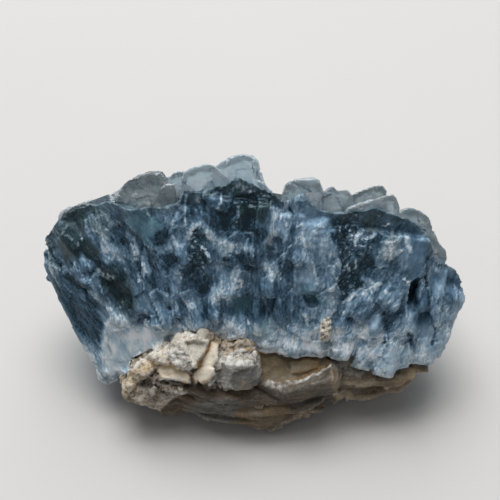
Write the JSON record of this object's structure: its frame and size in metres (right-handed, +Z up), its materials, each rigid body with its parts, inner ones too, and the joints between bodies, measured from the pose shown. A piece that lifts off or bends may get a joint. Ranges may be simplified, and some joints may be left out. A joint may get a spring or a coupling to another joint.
{
  "type": "celestite crystal cluster",
  "caption": "Cluster of blue celestite crystals that fan up from a lump of tan rock, broken across in front; a mineral specimen that rests on the rock.",
  "frame": {"origin": "under the middle of the whole cluster, on the surface that it rests on", "axes": "+X along the cluster's length, to the right as one looks at its broken front; +Y away from the broken front; +Z up"},
  "size_m": [0.0868, 0.048, 0.0468],
  "materials": {
    "celestite": "clear to milky blue crystal, glassy on its faces, fibrous and frosted where broken",
    "rock": "rough cream to brown limy rock, crumbly and vuggy, with white crusts"
  },
  "bodies": {
    "root": {"celestite_crystals": "celestite", "matrix_rock": "rock"}
  },
  "joints": []
}
